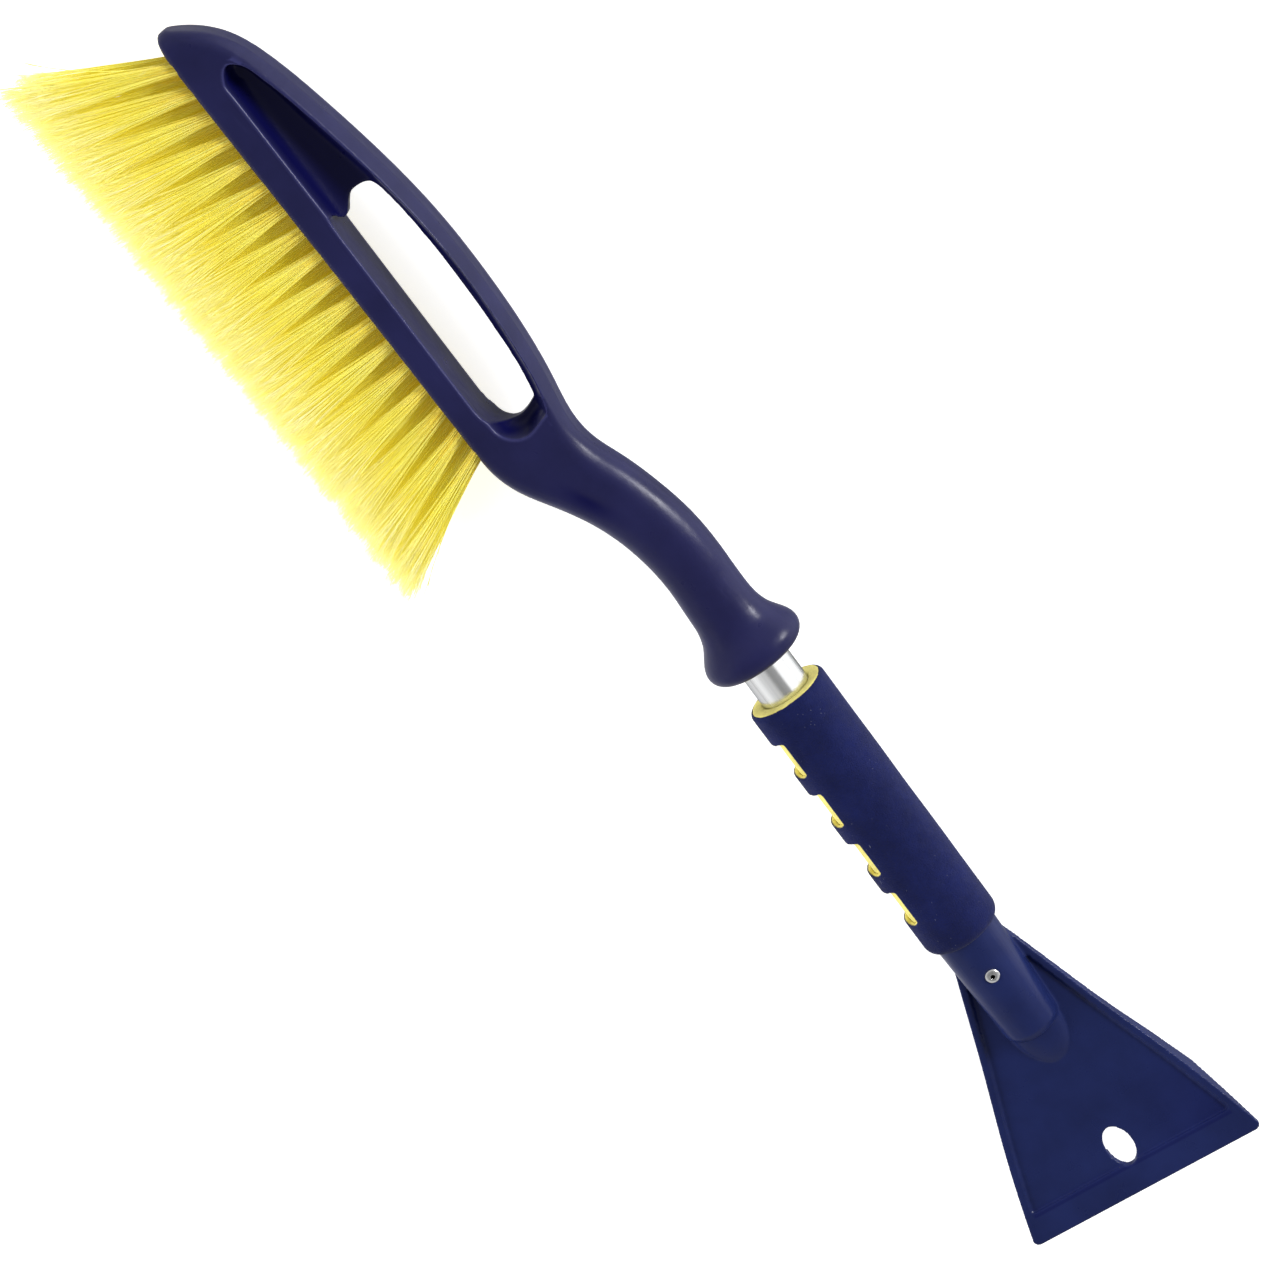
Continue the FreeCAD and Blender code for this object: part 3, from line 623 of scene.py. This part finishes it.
# The tubular rivet. Its middle is its origin, the socket's surface lies at SEAT above it, and it
# leans a little to the loop's side.
SEAT = 13.1 * MM
SHANK_RADIUS, BORE_RADIUS = 2.05 * MM, 0.95 * MM
BORE_DARK_RADIUS, BORE_DARK_BELOW = 1.1 * MM, SEAT + 0.7 * MM
RIVET_TILT = math.radians(7)
RIVET_SEGMENTS = 64


def turned(name, profile, segments):
    """A solid of revolution about Z from the (radius, height) points of its closed outline."""
    mesh = bpy.data.meshes.new(name)
    bm = bmesh.new()
    rings = []
    for radius, height in profile:
        ring = []
        for k in range(segments):
            a = 2 * math.pi * k / segments
            ring.append(bm.verts.new((radius * math.cos(a), radius * math.sin(a), height)))
        rings.append(ring)
    for lower, upper in zip(rings, rings[1:] + rings[:1]):
        for k in range(segments):
            j = (k + 1) % segments
            bm.faces.new((lower[k], lower[j], upper[j], upper[k]))
    bmesh.ops.recalc_face_normals(bm, faces=bm.faces)
    bm.to_mesh(mesh)
    bm.free()
    smooth_shaded(mesh)
    return placed(name, mesh)


def arc(centre, radius, start, end, steps):
    """Points (radius, height) along an arc of the outline, in degrees."""
    angles = np.radians(np.linspace(start, end, steps))
    return [(centre[0] + radius * math.cos(a), centre[1] + radius * math.sin(a)) for a in angles]


profile = [(SHANK_RADIUS, -SEAT + 0.2 * MM), (SHANK_RADIUS, SEAT)]
# The head's edge, its dome and the rounded mouth of the bore.
profile += arc((3.0 * MM, SEAT + 0.18 * MM), 0.18 * MM, -90, 40, 6)
profile += arc((1.25 * MM, SEAT - 1.35 * MM), 2.62 * MM, 52, 84, 8)
profile += arc((1.22 * MM, SEAT + 1.0 * MM), 0.24 * MM, 80, 190, 7)
# The bore, and the end that is rolled over on the back.
profile += [(BORE_RADIUS, SEAT - 0.4 * MM), (BORE_RADIUS, -SEAT - 0.9 * MM)]
profile += arc((1.95 * MM, -SEAT - 0.62 * MM), 0.6 * MM, 215, 370, 9)

rivet = turned("socket_rivet_turned", profile, RIVET_SEGMENTS)
skin = per_vertex(rivet.data, "co")
in_bore = (np.hypot(skin[:, 0], skin[:, 1]) < BORE_DARK_RADIUS) & (skin[:, 2] < BORE_DARK_BELOW)
store(rivet.data, "bore", in_bore)
rivet_middle = sum(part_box("socket_rivet"), Vector()) / 2
rivet.matrix_world = Matrix.Translation(rivet_middle) @ Matrix.Rotation(-RIVET_TILT, 4, "X")
finish_piece(rivet, RIVET, "rivet_steel", "socket_rivet")


# ---------------------------------------------------------------- bristles

# The filaments of a tuft, the hairs that each splits into, and the sides of both. The slices at a
# CAD tuft's ends show where its axis runs.
FILAMENTS = 130
SPLITS = 4
SIDES = 3
FILAMENT_RADIUS = 0.25 * MM
SPLIT_RADIUS = 0.11 * MM
RUN_STEPS = 9
SPLIT_STEPS = 5
ROOT_SLICE, TIP_SLICE = 3.0 * MM, 6.0 * MM

# How a tuft is packed in its hole, fans out, is trimmed and bends. "row" is along the row of
# tufts, "side" is across it. SHORT and CRIMP, from least to most, are in mm.
HOLE_RADIUS = 2.55 * MM
HOLE_SHARE = 0.14
FAN_ROW, FAN_SIDE, FAN_SCATTER = 8.4 * MM, 6.2 * MM, 0.7 * MM
TRIM_SCATTER, TRIM_SHORTFALL = 0.95 * MM, 0.5 * MM
SHORT_SHARE, SHORT_LEAST, SHORT_MOST = 0.06, 2, 9
STRAY_SHARE, STRAY_ROW, STRAY_SIDE = 0.03, 5.5 * MM, 3.0 * MM
BEND = 0.9 * MM
CRIMP_LEAST, CRIMP_MOST = 0.05, 0.28
CRIMP_ROW_TURN, CRIMP_SIDE_TURN = 9, 8
FAN_POWER, BEND_POWER = 1.08, 2.2
TONE_MIDDLE, TONE_SCATTER = 0.5, 0.24
THINNEST, THICKEST = 0.85, 1.12
RUN_TAPER = 0.72

# Where along a filament its end is split, how far the hairs spread and how far they spring back.
SPLIT_FIRST, SPLIT_LAST, SPLIT_OVERLAP = 0.66, 0.84, 0.06
SPLIT_ROW, SPLIT_SIDE, SPLIT_BACK = 1.3 * MM, 1.2 * MM, 1.2 * MM
SPLIT_POWER = 1.4
HAIR_THINNEST, HAIR_THICKEST = 0.8, 1.2
HAIR_TAPER = 0.6


def tuft_axis(node):
    """Centre of the buried end and centre of the tip of a tuft's CAD solid."""
    co = per_vertex(NODES[node].data, "co")
    root = co[co[:, 1] > co[:, 1].max() - ROOT_SLICE].mean(0)
    tip = co[co[:, 1] < co[:, 1].min() + TIP_SLICE].mean(0)
    return root, tip


class Tuft:
    """The centre lines of one tuft's filaments: packed in the hole, then fanning out to the tip.
    d runs from root to tip, u along the row and w to the side."""

    def __init__(self, rng, root, tip):
        n = FILAMENTS
        self.root = root
        length = np.linalg.norm(tip - root)
        self.d = (tip - root) / length
        self.u = np.array([1.0, 0, 0]) - self.d[0] * self.d
        self.u /= np.linalg.norm(self.u)
        self.w = np.cross(self.d, self.u)
        share = np.sqrt(rng.uniform(0, 1, n))
        around = rng.uniform(0, 2 * math.pi, n)
        a, b = share * np.cos(around), share * np.sin(around)
        self.start = self.across(a * HOLE_RADIUS, b * HOLE_RADIUS)
        fan_row = a * FAN_ROW + rng.normal(0, FAN_SCATTER, n)
        fan_side = b * FAN_SIDE + rng.normal(0, FAN_SCATTER, n)
        self.end = self.across(fan_row, fan_side)
        trim = rng.normal(0, TRIM_SCATTER, n) - np.abs(rng.normal(0, TRIM_SHORTFALL, n))
        short = rng.uniform(0, 1, n) < SHORT_SHARE
        trim = np.where(short, trim - rng.uniform(SHORT_LEAST, SHORT_MOST, n) * MM, trim)
        # Every filament is trimmed at the level of the tip, whatever its angle.
        self.reach = length + trim + self.end[:, 1] / max(-self.d[1], 0.5)
        stray = rng.uniform(0, 1, n) < STRAY_SHARE
        bend_row = np.where(stray, rng.normal(0, STRAY_ROW, n), rng.normal(0, BEND, n))
        bend_side = np.where(stray, np.abs(rng.normal(0, STRAY_SIDE, n)), rng.normal(0, BEND, n))
        self.bend = self.across(bend_row, bend_side)
        self.phase = rng.uniform(0, 2 * math.pi, (n, 2))
        self.crimp = rng.uniform(CRIMP_LEAST, CRIMP_MOST, n) * MM

    def across(self, row, side):
        return np.outer(row, self.u) + np.outer(side, self.w)

    def at(self, t):
        """Where every filament is at its own share t of its length."""
        s = np.maximum(0, (t - HOLE_SHARE) / (1 - HOLE_SHARE))
        fan = (s**FAN_POWER)[:, None]
        p = self.root + np.outer(self.reach * t, self.d) + self.start * (1 - fan) + self.end * fan
        p += self.bend * (s**BEND_POWER)[:, None]
        sway_row = self.crimp * s * np.sin(self.phase[:, 0] + CRIMP_ROW_TURN * s)
        sway_side = self.crimp * s * np.sin(self.phase[:, 1] + CRIMP_SIDE_TURN * s)
        return p + self.across(sway_row, sway_side)


def strands(paths, radius, taper, u, w, turn):
    """Thin strands round many centre lines (strand, step, xyz): points, side faces, end caps."""
    count, steps = paths.shape[:2]
    angles = turn[:, None] + np.arange(SIDES) * 2 * math.pi / SIDES
    ring = np.cos(angles)[..., None] * u + np.sin(angles)[..., None] * w
    co = paths[:, :, None, :] + ring[:, None, :, :] * (radius[:, None] * taper)[:, :, None, None]
    first = np.arange(count)[:, None, None] * steps * SIDES
    lower = first + np.arange(steps - 1)[None, :, None] * SIDES
    upper = lower + SIDES
    side = np.arange(SIDES)[None, None, :]
    after = (side + 1) % SIDES
    quads = np.stack([lower + side, lower + after, upper + after, upper + side], -1)
    start_cap = (first + side)[:, :, ::-1].reshape(-1, SIDES)
    end_cap = (first + (steps - 1) * SIDES + side).reshape(-1, SIDES)
    return co.reshape(-1, 3), quads.reshape(-1, 4), np.concatenate([start_cap, end_cap])


def make_tuft(name, node, rng):
    """One tuft of filaments with split ends, in the place of its CAD solid."""
    tuft = Tuft(rng, *tuft_axis(node))
    tone = np.clip(rng.normal(TONE_MIDDLE, TONE_SCATTER, FILAMENTS), 0, 1)
    radius = FILAMENT_RADIUS * rng.uniform(THINNEST, THICKEST, FILAMENTS)
    split_at = rng.uniform(SPLIT_FIRST, SPLIT_LAST, FILAMENTS)
    run_shares = np.outer(split_at + SPLIT_OVERLAP, np.linspace(0, 1, RUN_STEPS))
    runs = np.stack([tuft.at(t) for t in run_shares.T], 1)
    turn = rng.uniform(0, 2 * math.pi, FILAMENTS)
    thinning = np.linspace(1.0, RUN_TAPER, RUN_STEPS)
    co, quads, caps = strands(runs, radius, thinning, tuft.u, tuft.w, turn)
    # The trimmed ends are split into finer hairs that spread a little.
    hairs = FILAMENTS * SPLITS
    open_up = np.linspace(0, 1, SPLIT_STEPS)
    split_shares = split_at[:, None] + np.outer(1 - split_at, open_up)
    splits = np.repeat(np.stack([tuft.at(t) for t in split_shares.T], 1), SPLITS, axis=0)
    spread = tuft.across(rng.normal(0, SPLIT_ROW, hairs), rng.normal(0, SPLIT_SIDE, hairs))
    spread += np.outer(-np.abs(rng.normal(0, SPLIT_BACK, hairs)), tuft.d)
    splits += spread[:, None, :] * (open_up**SPLIT_POWER)[None, :, None]
    turn = rng.uniform(0, 2 * math.pi, hairs)
    radius = SPLIT_RADIUS * rng.uniform(HAIR_THINNEST, HAIR_THICKEST, hairs)
    thinning = np.linspace(1.0, HAIR_TAPER, SPLIT_STEPS)
    more, more_quads, more_caps = strands(splits, radius, thinning, tuft.u, tuft.w, turn)
    faces = quads.tolist() + caps.tolist()
    faces += (more_quads + len(co)).tolist() + (more_caps + len(co)).tolist()
    mesh = bpy.data.meshes.new(name)
    mesh.from_pydata(np.concatenate([co, more]).tolist(), [], faces)
    smooth_shaded(mesh)
    split_shares = np.repeat(split_shares, SPLITS, axis=0)
    along = [np.repeat(run_shares, SIDES), np.repeat(split_shares, SIDES)]
    store(mesh, "along", np.concatenate(along))
    tones = [np.repeat(tone, RUN_STEPS * SIDES), np.repeat(tone, SPLITS * SPLIT_STEPS * SIDES)]
    store(mesh, "tone", np.concatenate(tones))
    finish_piece(placed(name, mesh), BRISTLE, "bristle", node)


for index, node in enumerate(sorted(n for n in NODES if n.startswith("bristle_"))):
    make_tuft(node.replace("bristle", "bristles"), node, np.random.default_rng(SEED + index))


# ---------------------------------------------------------------- floor, light and camera

FLOOR_HALF = 6.0
FLOOR_DROP = 0.2 * MM

corners = [(FLOOR_HALF * x, FLOOR_HALF * y, 0) for x, y in [(-1, -1), (1, -1), (1, 1), (-1, 1)]]
floor_mesh = bpy.data.meshes.new("floor")
floor_mesh.from_pydata(corners, [], [(0, 1, 2, 3)])
floor = placed("floor", floor_mesh)
add_material(floor, FLOOR)
floor.location.z = -FLOOR_DROP
# The floor does not show in gloss, because its glow would light every edge of the dark plastic.
floor.visible_glossy = False

# Height (0 to 1) and grey of the surroundings: light walls, and a darker top.
TENT = [(0.0, 0.40), (0.2, 0.48), (0.45, 0.66), (0.75, 0.34), (1.0, 0.22)]
# What gloss sees instead of the floor: share of the way from the bristles' side (0) to the loop's
# side (1), and grey.
BELOW = [(0.30, 0.74), (0.50, 0.40), (0.75, 0.34), (0.88, 1.2)]


def grey_ramp(tree, value, stops):
    """A grey that follows a value between 0 and 1 through (value, grey) stops."""
    made = tree.nodes.new("ShaderNodeValToRGB")
    tree.links.new(value, made.inputs[0])
    elements = made.color_ramp.elements
    while len(elements) < len(stops):
        elements.new(0.5)
    for element, (position, grey) in zip(elements, stops):
        element.position = position
        element.color = (grey, grey, grey, 1)
    return made.outputs[0]


def light_tent():
    """The surroundings: TENT above the horizon, BELOW under it."""
    world = bpy.data.worlds.new("light_tent")
    SCENE.world = world
    world.use_nodes = True
    tree = world.node_tree
    background = tree.nodes["Background"]
    place = tree.nodes.new("ShaderNodeTexCoord")
    split = tree.nodes.new("ShaderNodeSeparateXYZ")
    tree.links.new(place.outputs["Generated"], split.inputs[0])
    across = tree.nodes.new("ShaderNodeMapRange")
    tree.links.new(split.outputs["Y"], across.inputs["Value"])
    across.inputs["From Min"].default_value = -1.0
    below = tree.nodes.new("ShaderNodeMath")
    below.operation = "LESS_THAN"
    tree.links.new(split.outputs["Z"], below.inputs[0])
    below.inputs[1].default_value = 0.0
    mix = tree.nodes.new("ShaderNodeMix")
    mix.data_type = "RGBA"
    tree.links.new(below.outputs[0], mix.inputs[0])
    tree.links.new(grey_ramp(tree, split.outputs["Z"], TENT), mix.inputs[6])
    tree.links.new(grey_ramp(tree, across.outputs[0], BELOW), mix.inputs[7])
    tree.links.new(mix.outputs[2], background.inputs["Color"])
    background.inputs["Strength"].default_value = 1.0


def softbox(name, position, size, power, target=(0, 0, 0)):
    """A rectangular lamp that faces its target."""
    lamp = bpy.data.lights.new(name, "AREA")
    lamp.shape = "RECTANGLE"
    lamp.size, lamp.size_y = size
    lamp.energy = power
    obj = placed(name, lamp)
    obj.location = position
    obj.rotation_mode = "QUATERNION"
    obj.rotation_quaternion = (Vector(target) - Vector(position)).to_track_quat("-Z", "Y")
    return obj


def receivers(lamp, state, *objects):
    """The lamp reaches only these objects ("INCLUDE") or all but these ("EXCLUDE")."""
    group = bpy.data.collections.new(lamp.name + "_receivers")
    for obj in objects:
        group.objects.link(obj)
    for member in group.collection_objects:
        member.light_linking.link_state = state
    lamp.light_linking.receiver_collection = group


light_tent()
key = softbox("key", (-0.2, 1.6, 0.75), size=(0.9, 0.5), power=27)
fill = softbox("fill", (-0.3, -1.5, 0.6), size=(1.2, 0.5), power=22)
key.visible_glossy = fill.visible_glossy = False
# The highlight along the neck and the bell, and nothing else.
glint = softbox("glint", (-0.15, 1.75, 0.22), size=(0.5, 0.3), power=22)
glint.visible_diffuse = False
# Bare metal mirrors its surroundings, so the tube has two large cards of its own.
bare_tube = (0.03, 0.025, 0.02)
card_loop = softbox(
    "card_loop_side", (0.03, 0.916, 0.474), size=(3.0, 0.93), power=6.0, target=bare_tube
)
card_bristle = softbox(
    "card_bristle_side", (0.03, -0.67, 0.74), size=(3.0, 1.68), power=4.8, target=bare_tube
)
for lamp in (key, fill, glint):
    receivers(lamp, "EXCLUDE", NODES["handle_tube"])
for lamp in (card_loop, card_bristle):
    receivers(lamp, "INCLUDE", NODES["handle_tube"])

SCENE.view_settings.view_transform = "Standard"
SCENE.view_settings.look = "None"

# The camera looks from the brush's end and the loop's side, a little off square to the tool.
CAMERA_DISTANCE = 1.25
TOWARDS_CAMERA = Vector((-0.32, 0.255, 0.91245))
AIM = Vector((0.0362, 0.0254, 0.0217))
PICTURE_RIGHT = Vector((0.579808, 0.81163, -0.071272))
PICTURE_UP = Vector((-0.76284, 0.510057, -0.397388))
LENS = 89.0
SENSOR = 36.0
CLIP_NEAR, CLIP_FAR = 0.05, 20

camera_data = bpy.data.cameras.new("camera")
camera_data.lens = LENS
camera_data.sensor_width = SENSOR
camera_data.clip_start, camera_data.clip_end = CLIP_NEAR, CLIP_FAR
camera = placed("camera", camera_data)
right = PICTURE_RIGHT.normalized()
back = right.cross(PICTURE_UP).normalized()
up = back.cross(right)
turn = Matrix((right, up, back)).transposed().to_4x4()
camera.matrix_world = Matrix.Translation(AIM + TOWARDS_CAMERA * CAMERA_DISTANCE) @ turn
SCENE.camera = camera
